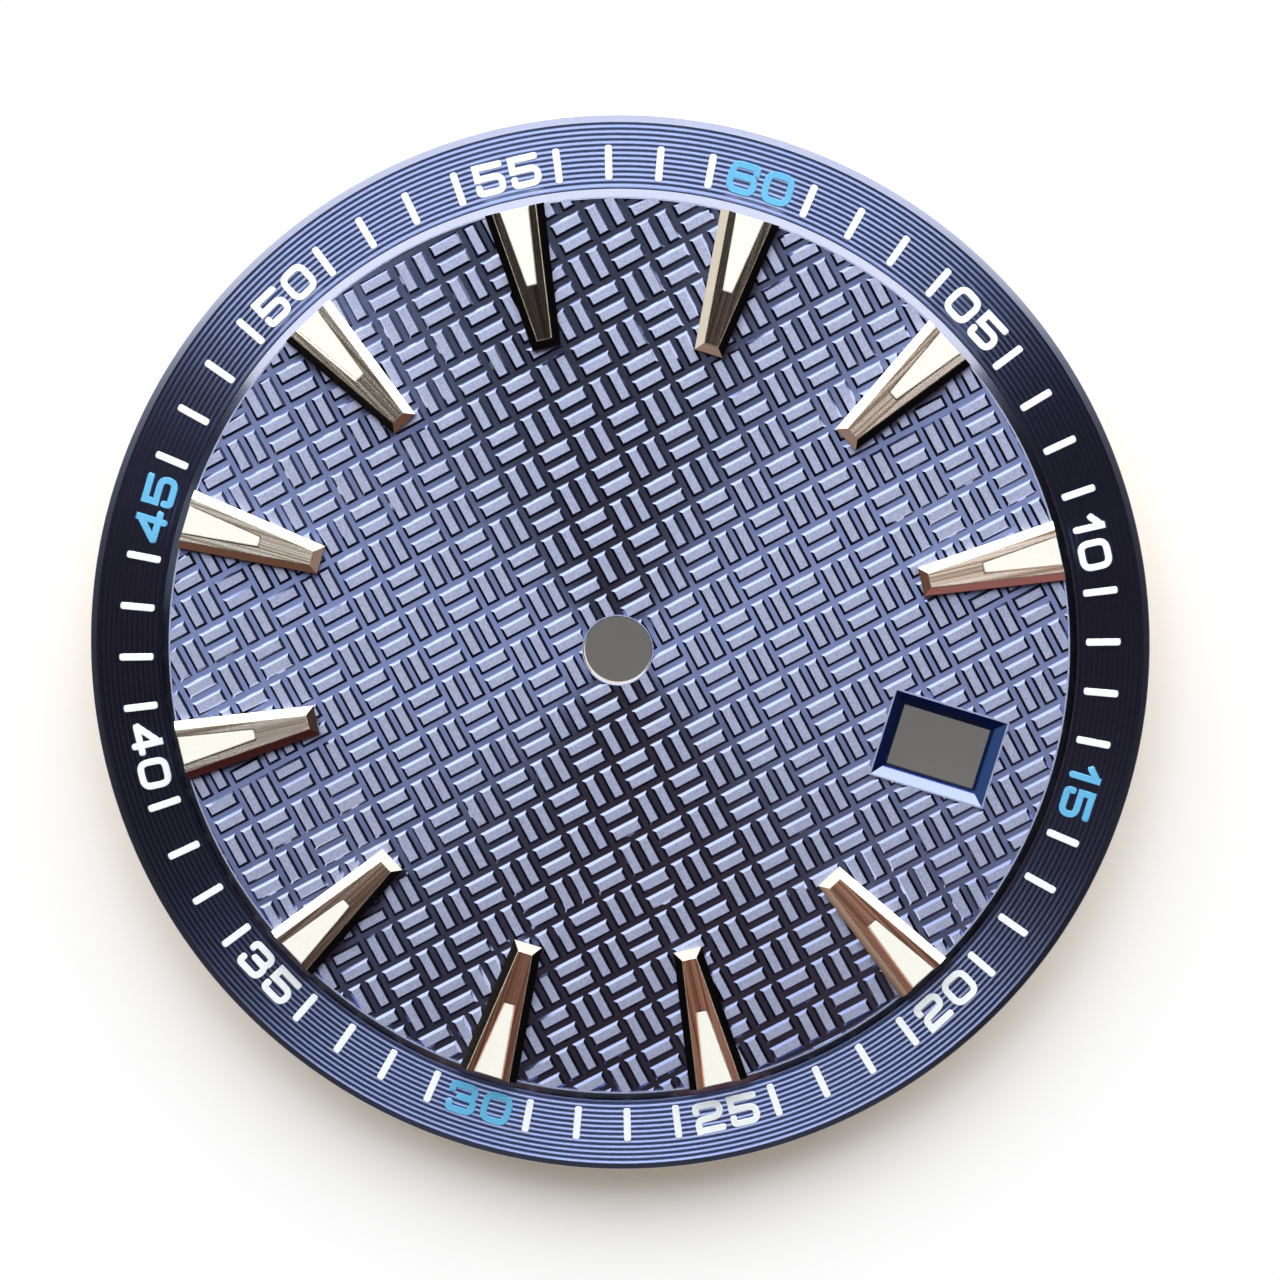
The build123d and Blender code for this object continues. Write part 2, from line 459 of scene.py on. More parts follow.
def weld(piece, reach=0.0004):
    """Merge the points that cutting and spinning leave almost on top of each other."""
    pick_up(piece)
    bpy.ops.object.mode_set(mode="EDIT")
    bpy.ops.mesh.select_mode(type="VERT")
    bpy.ops.mesh.select_all(action="SELECT")
    bpy.ops.mesh.remove_doubles(threshold=reach)
    bpy.ops.mesh.dissolve_degenerate(threshold=reach)
    bpy.ops.object.mode_set(mode="OBJECT")


def finish_piece(piece, materials, slot, *nodes, smooth=20):
    """Bring a piece from millimetres to metres, paint it, and let it stand for its CAD nodes."""
    pick_up(piece)
    bpy.ops.object.transform_apply(location=True, rotation=True, scale=True)
    piece.scale = (millimetre, millimetre, millimetre)
    bpy.ops.object.transform_apply(location=False, rotation=False, scale=True)
    bpy.ops.object.shade_smooth_by_angle(angle=math.radians(smooth))
    for material in materials:
        piece.data.materials.append(material)
    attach(piece, "root")
    if nodes:
        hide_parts(*nodes)


def count_triangles(piece):
    """How many triangles a mesh comes to."""
    return sum(len(face.vertices) - 2 for face in piece.data.polygons)


print("modelling helpers ready")

# %% [markdown]
# ## Finishes
# A finish is a colour, a roughness and a fine relief. The relief comes from noise with details of a given
# size. Brushing and turning spread the light across the scratches and not along them, so the shader is given
# the direction in which to spread it, worked out from the place on the dial.

# %% Texture helpers


def flat_place(tree):
    """The place on the dial, without its height."""
    return vector_node(tree, "MULTIPLY", object_place(tree), (1, 1, 0))


def outward(tree):
    """The direction away from the middle of the dial, which is across the scratches of a turned ring."""
    return vector_node(tree, "NORMALIZE", flat_place(tree))


def around(tree):
    """The direction round the dial, which is across the scratches of a sunburst."""
    turned = vector_node(tree, "CROSS_PRODUCT", (0, 0, 1), object_place(tree))
    return vector_node(tree, "NORMALIZE", turned)


def per_metre(size):
    """The texture scale that gives details of a size in millimetres."""
    return 1 / (size * millimetre)


def grain(tree, size, detail, stretch=None):
    """Noise with details of a size in millimetres, drawn out along an axis if a stretch is given."""
    place = object_place(tree)
    if stretch:
        place = add_node(tree, "Mapping", {"Vector": place, "Scale": stretch}).outputs[0]
    noise = add_node(tree, "TexNoise", {"Vector": place, "Scale": per_metre(size), "Detail": detail})
    return noise.outputs[0]


def rays(tree, fineness, detail):
    """Noise that changes only round the dial, like brushing from the centre outward."""
    noise = add_node(tree, "TexNoise", {"Vector": outward(tree), "Scale": fineness, "Detail": detail})
    return noise.outputs[0]


def relief(tree, height, strength, depth):
    """The normal of a fine relief, whose depth is in millimetres."""
    distance = depth * millimetre
    return add_node(tree, "Bump", {"Height": height, "Strength": strength, "Distance": distance}).outputs[0]


def tones(tree, value, start, end, dark, light):
    """A colour between a dark and a light tone, which are reached at a start and an end value."""
    ramp = add_node(tree, "ValToRGB", {"Fac": value})
    first, last = ramp.color_ramp.elements
    first.position, last.position = start, end
    first.color, last.color = linear(dark), linear(light)
    return ramp.outputs[0]


def metal(tree, colour, roughness, normal=None, brushed=None, coat=None, metallic=1):
    """Make the surface a metal. A brushed one is given how much it spreads the light, and in which direction,
    and a coated one the roughness and IOR of its clear coat."""
    inputs = {"Base Color": colour, "Metallic": metallic, "Roughness": roughness}
    if normal is not None:
        inputs["Normal"] = normal
    if brushed:
        inputs["Anisotropic"], inputs["Tangent"] = brushed
    if coat:
        inputs["Coat Weight"] = 1
        inputs["Coat Roughness"], inputs["Coat IOR"] = coat
    surface(tree, "BsdfPrincipled", inputs)


print("texture helpers ready")

# %% [markdown]
# The plate is brass with a thin blue metal coating, which takes its look from the metal below it. The raised
# bars are frosted, the ground between them is brushed from the centre outward, like the rays of the sun, and
# the cut edges are polished. The step round the raised centre is turned, the window's bevels are satin, and
# its punched walls are dull, with their near-black colour painted shade. The back is bare brass under
# lacquer.

# %% Finishes of the plate
frosted_blue, tree = new_material("frosted_blue_plating")
grit = grain(tree, 0.05, 3)
metal(tree, tones(tree, grit, 0.35, 0.65, "#A6AECE", "#C2C9E4"), 0.62, relief(tree, grit, 0.8, 0.008),
      metallic=0.8)

sunburst_blue, tree = new_material("sunburst_brushed_blue_plating")
metal(tree, linear("#7E8CBA"), 0.48, relief(tree, rays(tree, 160, 2), 0.5, 0.004),
      brushed=(0.92, around(tree)), coat=(0.3, 1.5))

polished_blue, tree = new_material("polished_blue_plating")
metal(tree, linear("#707EAE"), 0.2, coat=(0.1, 1.8))

turned_bevel, tree = new_material("turned_bevel_plating")
metal(tree, linear("#626880"), 0.25, coat=(0.12, 2.0))

satin_blue, tree = new_material("satin_blue_window_bevel")
metal(tree, linear("#2F4E9C"), 0.08, coat=(0.04, 2.3), metallic=0.88)

# Painted shade: the punched walls inside the window are rough, and their near-black colour stands in for the
# shade inside the opening
punched_wall_painted_shade, tree = new_material("dull_punched_wall_painted_dark")
surface(tree, "BsdfPrincipled", {"Base Color": linear("#1C1A24"), "Roughness": 0.7, "IOR": 1.1,
                                 "Normal": relief(tree, grain(tree, 0.04, 3), 0.6, 0.005)})

back_brass, tree = new_material("brushed_lacquered_brass")
lines = grain(tree, 2, 4, stretch=(1, 40, 1))
stained = math_node(tree, "MULTIPLY", math_node(tree, "ADD", lines, grain(tree, 6, 3)), 0.5)
metal(tree, tones(tree, stained, 0.38, 0.62, "#B8924C", "#EBCF90"), 0.36, relief(tree, lines, 0.6, 0.01))
plate_finishes = [frosted_blue, sunburst_blue, polished_blue, back_brass, satin_blue, turned_bevel,
                  punched_wall_painted_shade]
FROSTED, SUNBURST, POLISHED, BRASS, SATIN, TURNED, PUNCHED_SHADED = range(len(plate_finishes))
print("plate finishes:", len(plate_finishes))

# %% [markdown]
# ## The dial plate
# A real plate starts as a turned blank and is stamped between dies. The same is done here: a blank is spun,
# a field of bars is cut out of a slab to make the die, and the die is pressed into the blank, that is, taken
# from it. What is left standing is a basket weave of raised bars, the common way to liven up a plain dial.

# %% Blank
dial_radius, hole_radius = 15.9, 1.015
seat_top, ring_top, centre_top = 0.25, 0.45, 0.63
step_foot, step_head = 13.735, 13.50
hole_chamfer, rim_chamfer = 0.02, 0.04
plate = turn(
    "dial_plate_stamped",
    [
        (hole_radius, hole_chamfer), (hole_radius + hole_chamfer, 0), (dial_radius - rim_chamfer, 0),
        (dial_radius, rim_chamfer), (dial_radius, seat_top), (step_foot, seat_top), (step_foot, ring_top),
        (step_head, centre_top), (hole_radius + hole_chamfer, centre_top),
        (hole_radius, centre_top - hole_chamfer),
    ],
    steps=256,
)
print("blank faces:", len(plate.data.polygons))

# %% Bars of the weave: four tapered bars make a cell, and cells fill the field
weave_cell, weave_repeats, weave_limit = 1.16, 14, 15.3
weave_ground, edge_run = 0.56, 0.085
bar_half = (0.415, 0.13)
edge_slope = edge_run / (centre_top - weave_ground)
bar_low, bar_high = 0.50, 0.70


def bar_reach(side, height):
    """Half the length (side 0) or width (side 1) of a tapered bar at a height."""
    return bar_half[side] + (centre_top - height) * edge_slope


bar_place = (0, weave_cell / 4, (bar_low + bar_high) / 2)
bars = block(bar_place, (2 * bar_reach(0, bar_low), 2 * bar_reach(1, bar_low), bar_high - bar_low))
bpy.ops.object.mode_set(mode="EDIT")
choose("FACE", lambda place, normal: normal.z > 0.9)
taper = [bar_reach(side, bar_high) / bar_reach(side, bar_low) for side in (0, 1)]
bpy.ops.transform.resize(value=(*taper, 1), center_override=(0, weave_cell / 4, 0))
bpy.ops.mesh.select_all(action="SELECT")
bpy.ops.mesh.duplicate_move(TRANSFORM_OT_translate={"value": (0, -weave_cell / 2, 0)})
bpy.ops.mesh.select_all(action="SELECT")
bpy.ops.mesh.duplicate_move(TRANSFORM_OT_translate={"value": (weave_cell, 0, 0)})
bpy.ops.transform.rotate(value=math.pi / 2, orient_axis="Z", center_override=(weave_cell, 0, 0))
bpy.ops.mesh.select_all(action="SELECT")
bpy.ops.mesh.duplicate_move(TRANSFORM_OT_translate={"value": (weave_cell, weave_cell, 0)})
bpy.ops.object.mode_set(mode="OBJECT")
for step in ((2 * weave_cell, 0, 0), (0, 2 * weave_cell, 0)):
    apply_modifier(bars, "ARRAY", count=weave_repeats, use_relative_offset=False, use_constant_offset=True,
                   constant_offset_displace=step)
bars.location = (-weave_repeats * weave_cell, -weave_repeats * weave_cell, 0)
bpy.ops.object.transform_apply(location=True)
bars.rotation_euler = (0, 0, math.radians(45))
bpy.ops.object.transform_apply(rotation=True)
bpy.ops.object.mode_set(mode="EDIT")
choose("VERT", lambda place, normal: place.xy.length > weave_limit)
bpy.ops.mesh.select_linked()
bpy.ops.mesh.delete(type="VERT")
bpy.ops.object.mode_set(mode="OBJECT")
print("bars in the die:", len(bars.data.polygons) // 6)

# %% Stamping die: a slab with the bars cut out of it, and a plain frame left round the window
window_x, window_size, window_bevel = 10.06, (2.70, 1.87), 0.38
plain_rim, die_top, frame_middle, frame_height = 0.05, 0.66, 0.6, 0.3
die = turn("die", [(hole_radius + plain_rim, weave_ground), (step_head - plain_rim, weave_ground),
                   (step_head - plain_rim, die_top), (hole_radius + plain_rim, die_top)], steps=192)
frame_size = [size + 2 * (window_bevel + plain_rim) for size in window_size]
window_frame = block((window_x, 0, frame_middle), (*frame_size, frame_height))
cut(die, bars)
cut(die, window_frame)
cut(plate, die)
print("stamped plate faces:", len(plate.data.polygons))

# %% Date window, rivet holes and foot recesses
marker_hours = [1, 2, 4, 5, 6, 7, 8, 9, 10, 11, 12]
rivet_radii, rivet_hole = (10.03, 12.58), 0.28
foot_places, foot_recess, recess_depth = [(9.289, 8.364), (-9.289, -8.364)], 0.40, 0.10
below, above = -0.5, 1.0
punch_top, flare = 0.25, 0.55
opening = block((window_x, 0, (below + punch_top) / 2), (*window_size, punch_top - below))
bpy.ops.object.mode_set(mode="EDIT")
choose("FACE", lambda place, normal: normal.z > 0.9)
bpy.ops.mesh.extrude_region_move(TRANSFORM_OT_translate={"value": (0, 0, flare)})
widen = [1 + 2 * flare / size for size in window_size]
bpy.ops.transform.resize(value=(*widen, 1), center_override=(window_x, 0, 0))
bpy.ops.object.mode_set(mode="OBJECT")
cut(plate, opening)


def drill(piece, places, radius, low, high):
    """Cut round holes at the given places."""
    drills = []
    for x, y in places:
        bpy.ops.mesh.primitive_cylinder_add(vertices=24, radius=radius, depth=high - low,
                                            location=(x, y, (low + high) / 2))
        drills.append(bpy.context.object)
    pick_up(*drills)
    bpy.ops.object.join()
    bpy.ops.object.transform_apply(location=True, rotation=True, scale=True)
    cut(piece, drills[0])


rivet_places = [
    (radius * math.sin(math.radians(30 * hour)), radius * math.cos(math.radians(30 * hour)))
    for hour in marker_hours
    for radius in rivet_radii
]
drill(plate, rivet_places, rivet_hole, below, above)
drill(plate, foot_places, foot_recess, below, recess_depth)
weld(plate)
print("plate faces after drilling:", len(plate.data.polygons))

# %% Finish the plate: one finish for each kind of face
window_reach = [size / 2 + window_bevel + 0.01 for size in window_size]


def plate_finish(face):
    """Choose the finish of a face by the way it faces, its height and its place."""
    up, height = face.normal.z, face.center.z
    in_window = abs(face.center.x - window_x) < window_reach[0] and abs(face.center.y) < window_reach[1]
    if up < -0.5 or (abs(up) < 0.3 and height < 0.2 and not in_window):
        return BRASS
    if in_window and abs(up) < 0.8:
        return PUNCHED_SHADED if abs(up) < 0.3 else SATIN
    if 0.3 < up < 0.98 and face.center.xy.length > step_head - 0.01:
        return TURNED
    if up > 0.98 and height > seat_top + 0.02:
        return FROSTED if height > centre_top - 0.01 else SUNBURST
    return POLISHED


for material in plate_finishes:
    plate.data.materials.append(material)
for face in plate.data.polygons:
    face.material_index = plate_finish(face)
finish_piece(plate, [], "dial_blue", "dial_plate", smooth=15)
print("plate triangles:", count_triangles(plate))

# %% [markdown]
# ## The minute ring
# The ring is turned on a lathe with a round-nosed tool, which leaves twelve fine grooves. Their walls are
# what shows: those that lean towards the window are bright, the others dark. The section is therefore drawn
# with rounded waves and spun in many steps. Outside the grooves a plain land falls away to the rim.

# %% Minute ring
groove_count, groove_pitch, groove_first, groove_depth = 12, 0.1575, 13.81, 0.028
wave_steps = 6
ring_bore, bore_chamfer = 13.76, 0.01
land_edge = [(0.03, 0.083), (0.01, 0.095), (0, 0.115)]  # (way in from the rim, way down from the ring's top)
section = [(ring_bore, seat_top), (ring_bore, ring_top - bore_chamfer), (ring_bore + bore_chamfer, ring_top)]
for step in range(groove_count * wave_steps + 1):
    depth = groove_depth * (1 - math.cos(2 * math.pi * step / wave_steps)) / 2
    section.append((groove_first + groove_pitch * step / wave_steps, ring_top - depth))
section += [(dial_radius - inward, ring_top - fall) for inward, fall in land_edge] + [(dial_radius, seat_top)]
ring = turn("minute_ring_turned", section, steps=360)

turned_blue, tree = new_material("turned_blue_plating")
radius_here = vector_node(tree, "LENGTH", flat_place(tree), output="Value")
marks = add_node(tree, "TexNoise", {"W": radius_here, "Scale": per_metre(0.02), "Detail": 2},
                 noise_dimensions="1D").outputs[0]
metal(tree, linear("#6678A9"), 0.37, relief(tree, marks, 0.35, 0.002), brushed=(0.9, outward(tree)),
      coat=(0.2, 1.6))

turned_land, tree = new_material("turned_outer_land_plating")
metal(tree, linear("#8A90A8"), 0.35, coat=(0.2, 1.6))
for material in (turned_blue, turned_land):
    ring.data.materials.append(material)
land_start = groove_first + groove_count * groove_pitch
for face in ring.data.polygons:
    if face.center.xy.length > land_start and face.normal.z > 0.5:
        face.material_index = 1
finish_piece(ring, [], "track_blue", "minute_track_ring", smooth=35)
print("ring triangles:", count_triangles(ring))

# %% [markdown]
# ## Hour markers
# Each marker is cut from plated metal with a diamond tool: mirror facets on the sides and the tip, a finely
# brushed flat top with burnished edges, and a wedge-shaped pocket for the luminous paint. One marker is
# modelled, and each hour gets its own copy, turned to its place.

# %% Marker finishes
cut_steel, tree = new_material("diamond_cut_plated_steel")
metal(tree, linear("#EFE8DC"), 0.03)

brushed_steel, tree = new_material("brushed_plated_steel")
lines = rays(tree, 110, 1)
metal(tree, tones(tree, lines, 0.38, 0.60, "#B5A58F", "#FFF9EE"), 0.25, relief(tree, lines, 1, 0.003),
      brushed=(0.93, around(tree)))

edge_steel, tree = new_material("burnished_edge_of_plated_steel")
metal(tree, linear("#E9DDC6"), 0.45, relief(tree, grain(tree, 0.06, 3), 1, 0.02))
marker_finishes = [cut_steel, brushed_steel, edge_steel]
BRUSHED, BURNISHED = 1, 2
print("marker finishes:", len(marker_finishes))

# %% Marker blank with its facets
marker_tip, marker_end = 9.28, 13.48
tip_half, end_half = 0.43, 0.90
wall_top, marker_top = centre_top + 0.20, centre_top + 0.40
side_facet, tip_facet = 0.24, 0.26
marker_middle = 11


def half_width(y):
    """Half the width of a marker's base at a distance from the dial's centre."""
    return tip_half + (end_half - tip_half) * (y - marker_tip) / (marker_end - marker_tip)


def wedge(name, low, high, tip_y, end_y, tip_width, end_width):
    """A block along Y that widens from its tip to its end, with half widths given for both."""
    middle = (tip_y + end_y) / 2
    piece = block((0, middle, (low + high) / 2), (2 * end_width, end_y - tip_y, high - low))
    piece.name = name
    bpy.ops.object.mode_set(mode="EDIT")
    choose("VERT", lambda place, normal: place.y < middle)
    bpy.ops.transform.resize(value=(tip_width / end_width, 1, 1), center_override=(0, tip_y, 0))
    bpy.ops.object.mode_set(mode="OBJECT")
    return piece


marker = wedge("hour_marker_master", centre_top, wall_top, marker_tip, marker_end, tip_half, end_half)
bpy.ops.object.mode_set(mode="EDIT")
choose("FACE", lambda place, normal: normal.z > 0.9)
bpy.ops.mesh.extrude_region_move(TRANSFORM_OT_translate={"value": (0, 0, marker_top - wall_top)})
choose("VERT", lambda place, normal: place.z > wall_top + 0.01 and place.y < marker_middle)
bpy.ops.transform.translate(value=(0, tip_facet, 0))
flat_tip_half = half_width(marker_tip + tip_facet) - side_facet
bpy.ops.transform.resize(value=(flat_tip_half / tip_half, 1, 1), center_override=(0, 0, 0))
choose("VERT", lambda place, normal: place.z > wall_top + 0.01 and place.y > marker_middle)
bpy.ops.transform.resize(value=((end_half - side_facet) / end_half, 1, 1), center_override=(0, 0, 0))
bpy.ops.object.mode_set(mode="OBJECT")
print("marker blank faces:", len(marker.data.polygons))

# %% Pocket and burnished edges
pocket_tip, pocket_tip_half, pocket_end_half, pocket_floor = 11.15, 0.18, 0.46, marker_top - 0.20
pocket_past, pocket_rounding, top_bevel = 0.5, 0.05, 0.016


def round_tip(radius):
    """In edit mode, round the two upright edges at the tip of the pocket or its filling."""

    def at_tip(edge):
        a, b = (v.co for v in edge.verts)
        return abs(a.z - b.z) > 0.1 and a.y < pocket_tip + 0.1

    choose_edges(at_tip)
    bpy.ops.mesh.bevel(offset=radius, segments=4, affect="EDGES")


def on_top_rim(edge):
    """Whether an edge bounds the marker's flat top and a facet."""
    at_top = all(v.co.z > marker_top - 0.001 for v in edge.verts)
    return at_top and len(edge.link_faces) == 2 and 0.1 < edge.calc_face_angle() < 1


slope = (pocket_end_half - pocket_tip_half) / (marker_end - pocket_tip)
pocket = wedge("pocket", pocket_floor, marker_top + 0.2, pocket_tip, marker_end + pocket_past,
               pocket_tip_half, pocket_end_half + slope * pocket_past)
bpy.ops.object.mode_set(mode="EDIT")
round_tip(pocket_rounding)
bpy.ops.object.mode_set(mode="OBJECT")
cut(marker, pocket)
for material in marker_finishes:
    marker.data.materials.append(material)
bpy.ops.object.mode_set(mode="EDIT")
choose_edges(on_top_rim)
bpy.ops.mesh.bevel(offset=top_bevel, segments=2, affect="EDGES", material=BURNISHED)
bpy.ops.object.mode_set(mode="OBJECT")
print("marker faces with pocket:", len(marker.data.polygons))

# %% Rivets of the marker
rivet_radius, rivet_low, rivet_high, rivet_chamfer = 0.25, 0.05, 0.70, 0.03
for radius in rivet_radii:
    bpy.ops.object.select_all(action="DESELECT")
    bpy.ops.mesh.primitive_cylinder_add(vertices=24, radius=rivet_radius, depth=rivet_high - rivet_low,
                                        location=(0, radius, (rivet_low + rivet_high) / 2))
    rivet = bpy.context.object
    bpy.ops.object.transform_apply(location=True)
    bpy.ops.object.mode_set(mode="EDIT")
    choose("FACE", lambda place, normal: normal.z < -0.9)
    bpy.ops.mesh.inset(thickness=rivet_chamfer, depth=0)
    choose("VERT", lambda place, normal: place.z < rivet_low + 0.01
           and math.hypot(place.x, place.y - radius) > rivet_radius - 0.01)
    bpy.ops.transform.translate(value=(0, 0, rivet_chamfer))
    bpy.ops.object.mode_set(mode="OBJECT")
    cut(marker, rivet, "UNION")
weld(marker)
for face in marker.data.polygons:
    if face.normal.z > 0.999 and face.center.z > marker_top - 0.001:
        face.material_index = BRUSHED
    elif face.center.z < centre_top - 0.01:
        face.material_index = BURNISHED
print("marker faces:", len(marker.data.polygons))

# %% Luminous paint: it stands in the pocket with a fine gap round it, and its edge is rounded off
lume_paint, tree = new_material("luminous_paint")
fine = grain(tree, 0.05, 4)
surface(tree, "BsdfPrincipled", {"Base Color": tones(tree, fine, 0.3, 0.6, "#F0EEE2", "#F4F3EA"),
                                 "Roughness": 0.8, "Normal": relief(tree, fine, 0.5, 0.01)})

lume_gap, lume_rim, lume_rise = 0.03, 0.05, 0.035
lume_rounding, lume_inset = 0.045, 0.03
lume = wedge("lume_master", pocket_floor + 0.001, marker_top - lume_rim, pocket_tip + lume_gap,
             marker_end - 0.005, pocket_tip_half - lume_gap, pocket_end_half - lume_gap)
bpy.ops.object.mode_set(mode="EDIT")
round_tip(lume_rounding)
choose("FACE", lambda place, normal: normal.z > 0.9)
bpy.ops.mesh.inset(thickness=lume_inset, depth=0)
bpy.ops.transform.translate(value=(0, 0, lume_rise))
bpy.ops.object.mode_set(mode="OBJECT")
print("lume faces:", len(lume.data.polygons))

# %% One marker and one filling for each hour


def turned_copy(master, angle):
    """Copy a master with its own mesh, turned clockwise by an angle in degrees."""
    copy = master.copy()
    copy.data = master.data.copy()
    bpy.context.collection.objects.link(copy)
    copy.rotation_euler = (0, 0, -math.radians(angle))
    return copy


for hour in marker_hours:
    cut_marker, filling = turned_copy(marker, 30 * hour), turned_copy(lume, 30 * hour)
    cut_marker.name, filling.name = f"cut_marker_{hour:02d}", f"lume_filling_{hour:02d}"
    finish_piece(cut_marker, [], "marker_steel", f"hour_marker_{hour:02d}", smooth=8)
    finish_piece(filling, [lume_paint], "lume", f"lume_inlay_{hour:02d}", smooth=30)
bpy.data.objects.remove(marker)
bpy.data.objects.remove(lume)
print("markers placed:", len(marker_hours))

# %% [markdown]
# ## Printed minutes
# The ticks and numbers are printed on the ring with thick white and sky blue ink, which fills the grooves
# and stands a little above them.

# %% Inks


def ink(name, hex_colour):
    """Pad-printing ink with a faint orange peel."""
    material, tree = new_material(name)
    surface(tree, "BsdfPrincipled", {"Base Color": linear(hex_colour), "Roughness": 0.5,
                                     "Normal": relief(tree, grain(tree, 0.08, 2), 0.4, 0.004)})
    return material


white_ink = ink("white_printing_ink", "#F5FAFC")
sky_ink = ink("sky_blue_printing_ink", "#62B6E2")
print("inks: 2")

# %% Minute ticks
print_low, print_high, print_radius = ring_top - groove_depth, ring_top + 0.012, 14.506
tick_size, tick_rounding, tick_edge = (0.215, 1.03), 0.075, 0.01
bpy.ops.object.select_all(action="DESELECT")
bpy.ops.mesh.primitive_plane_add(size=1, location=(0, print_radius, print_low))
tick = bpy.context.object
tick.scale = (*tick_size, 1)
bpy.ops.object.transform_apply(location=True, scale=True)
bpy.ops.object.mode_set(mode="EDIT")
bpy.ops.mesh.bevel(offset=tick_rounding, segments=4, affect="VERTICES")
bpy.ops.mesh.select_all(action="SELECT")
lift = (0, 0, print_high - print_low - tick_edge)
bpy.ops.mesh.extrude_region_move(TRANSFORM_OT_translate={"value": lift})
bpy.ops.mesh.inset(thickness=tick_edge, depth=0)
bpy.ops.transform.translate(value=(0, 0, tick_edge))
bpy.ops.mesh.select_all(action="SELECT")
bpy.ops.mesh.normals_make_consistent(inside=False)
bpy.ops.object.mode_set(mode="OBJECT")
ticks = [turned_copy(tick, 6 * minute) for minute in range(60) if minute % 5]
bpy.data.objects.remove(tick)
pick_up(*ticks)
bpy.ops.object.join()
ticks[0].name = "minute_ticks"
finish_piece(ticks[0], [white_ink], "lume", smooth=30)
print("ticks printed: 48")

# %% Strokes of the figures
stroke = 0.205
half_stroke = stroke / 2
w, h = 0.36, 0.385  # half the width and half the height of a figure, measured to the middle of its strokes
SHARP, SOFT = 0.0, 0.22
# Each figure is a few strokes. A stroke is its corners, each with how far its rounding reaches, and then
# whether each end is square (it runs on to fill an outer corner), round, or joined (a closed line).
digit_strokes = {
    "0": [([(-w, -h, 0.25), (w, -h, 0.25), (w, h, 0.25), (-w, h, 0.25)], "joined", "joined")],
    "1": [([(-0.19, 0.11, SHARP), (0.09, h - 0.02, SHARP)], "round", "round"),
          ([(0.12, h, SHARP), (0.12, -h, SHARP)], "square", "round")],
    "2": [([(-w, 0.17, SHARP), (-w, h, SOFT), (w, h, SOFT), (w, 0.0, SOFT), (-w, -0.05, SOFT),
            (-w, -h, SHARP)], "round", "square"),
          ([(-w, -h, SHARP), (w, -h, SHARP)], "square", "round")],
    "3": [([(-w, 0.19, SHARP), (-w, h, SOFT), (w - 0.02, h, SOFT), (w - 0.02, 0.03, 0.17),
            (-0.10, 0.03, SHARP)], "round", "round"),
          ([(0.05, 0.02, SHARP), (w, 0.02, SOFT), (w, -h, SOFT), (-w, -h, SOFT), (-w, -0.19, SHARP)],
           "round", "round")],
    "4": [([(0.17, h - 0.02, SHARP), (-0.41, -0.18, SHARP)], "round", "round"),
          ([(-0.41, -0.20, SHARP), (0.40, -0.20, SHARP)], "round", "round"),
          ([(0.17, h, SHARP), (0.17, -h, SHARP)], "square", "round")],
    "5": [([(w, h, SHARP), (-w, h, SHARP)], "round", "square"),
          ([(-w, h, SHARP), (-w, 0.05, SHARP)], "square", "square"),
          ([(-w, 0.05, SHARP), (w, 0.05, SOFT), (w, -h, SOFT), (-w, -h, SOFT), (-w, -0.20, SHARP)],
           "square", "round")],
    "6": [([(w, 0.20, SHARP), (w, h, SOFT), (-w, h, 0.25), (-w, -h, 0.25), (w, -h, 0.25), (w, 0.05, SOFT),
            (0.0, 0.05, SHARP)], "round", "round"),
          ([(-w, 0.05, SHARP), (0.05, 0.05, SHARP)], "round", "round")],
}


def rounded_line(corners, closed):
    """Points along a line of straight runs, with each inner corner rounded by a short arc."""
    points = []
    for i, (x, y, rounding) in enumerate(corners):
        here = Vector((x, y))
        if not closed and i in (0, len(corners) - 1):
            points.append(here)
            continue
        back = Vector(corners[i - 1][:2]) - here
        ahead = Vector(corners[(i + 1) % len(corners)][:2]) - here
        reach = min(rounding, back.length * 0.5, ahead.length * 0.5)
        start, end = here + back.normalized() * reach, here + ahead.normalized() * reach
        for step in range(7):
            share = step / 6
            points.append(start * (1 - share) ** 2 + here * (2 * share * (1 - share)) + end * share ** 2)
    return points


def end_points(last, before, style):
    """The extra points that finish a stroke's end, each with the share of the full width it has."""
    outward_end = (last - before).normalized() * half_stroke
    if style == "square":
        return [(last + outward_end, 1)]
    if style == "round":
        angles = [math.pi / 2 * step / 5 for step in range(1, 6)]
        return [(last + outward_end * math.sin(a), max(math.cos(a), 0.1)) for a in angles]
    return []


print("figures drawn:", len(digit_strokes))

# %% Bands of ink


def add_points(path, points, closed):
    """Add a line of straight runs to a curve, through (point, radius) pairs."""
    spline = path.splines.new("POLY")
    spline.points.add(len(points) - 1)
    for ((x, y), radius), target in zip(points, spline.points):
        target.co = (x, y, 0, 1)
        target.radius = radius
    spline.use_cyclic_u = closed


def draw_stroke(name, corners, start_style, end_style):
    """A band of ink along a line, drawn as a curve with the ink's section and turned into a mesh."""
    closed = start_style == "joined"
    line = rounded_line(corners, closed)
    start_cap = end_points(line[0], line[1], start_style)[::-1]
    end_cap = end_points(line[-1], line[-2], end_style)
    path = bpy.data.curves.new(name, "CURVE")
    path.dimensions = "3D"
    path.twist_mode = "Z_UP"
    add_points(path, start_cap + [(point, 1) for point in line] + end_cap, closed)
    path.bevel_mode = "OBJECT"
    path.bevel_object = ink_section
    path.use_fill_caps = True
    band = bpy.data.objects.new(name, path)
    bpy.context.collection.objects.link(band)
    pick_up(band)
    bpy.ops.object.convert(target="MESH")
    return bpy.context.object


